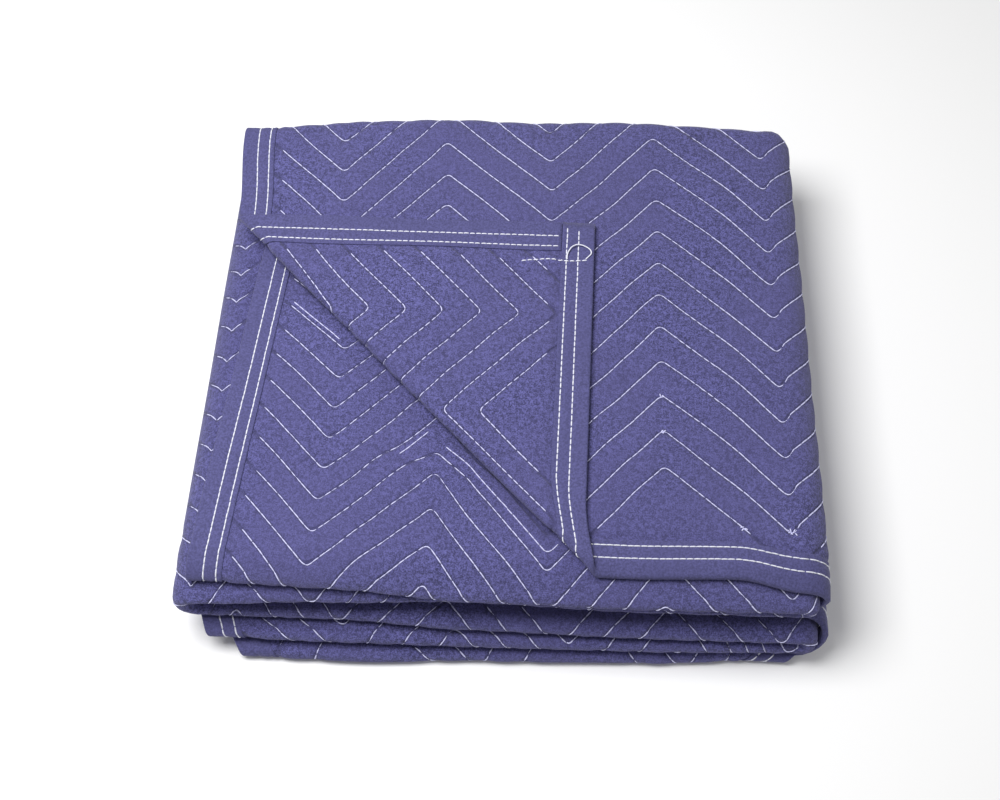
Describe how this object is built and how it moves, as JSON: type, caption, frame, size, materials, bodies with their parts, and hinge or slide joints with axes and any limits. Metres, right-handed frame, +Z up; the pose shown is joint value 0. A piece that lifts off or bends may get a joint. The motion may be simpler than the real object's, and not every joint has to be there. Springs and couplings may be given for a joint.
{
  "type": "moving blanket",
  "caption": "Quilted moving blanket with bound edges, folded into a flat stack with one corner of the top ply turned back.",
  "frame": {"origin": "middle of the folded stack's footprint, on the floor it lies on", "axes": "+X along the stack's longer side, to the right of the turned corner; +Y from the front, where the top ply's bound edge lies, to the back fold; +Z up through the plies"},
  "size_m": [0.514, 0.4792, 0.1077],
  "materials": {
    "quilted_cloth": "matte felted cloth, quilted",
    "binding_cloth": "matte woven tape"
  },
  "bodies": {
    "root": {"quilted_panel": "quilted_cloth", "binding_front": "binding_cloth", "binding_back": "binding_cloth", "binding_left": "binding_cloth", "binding_right": "binding_cloth"}
  },
  "joints": []
}
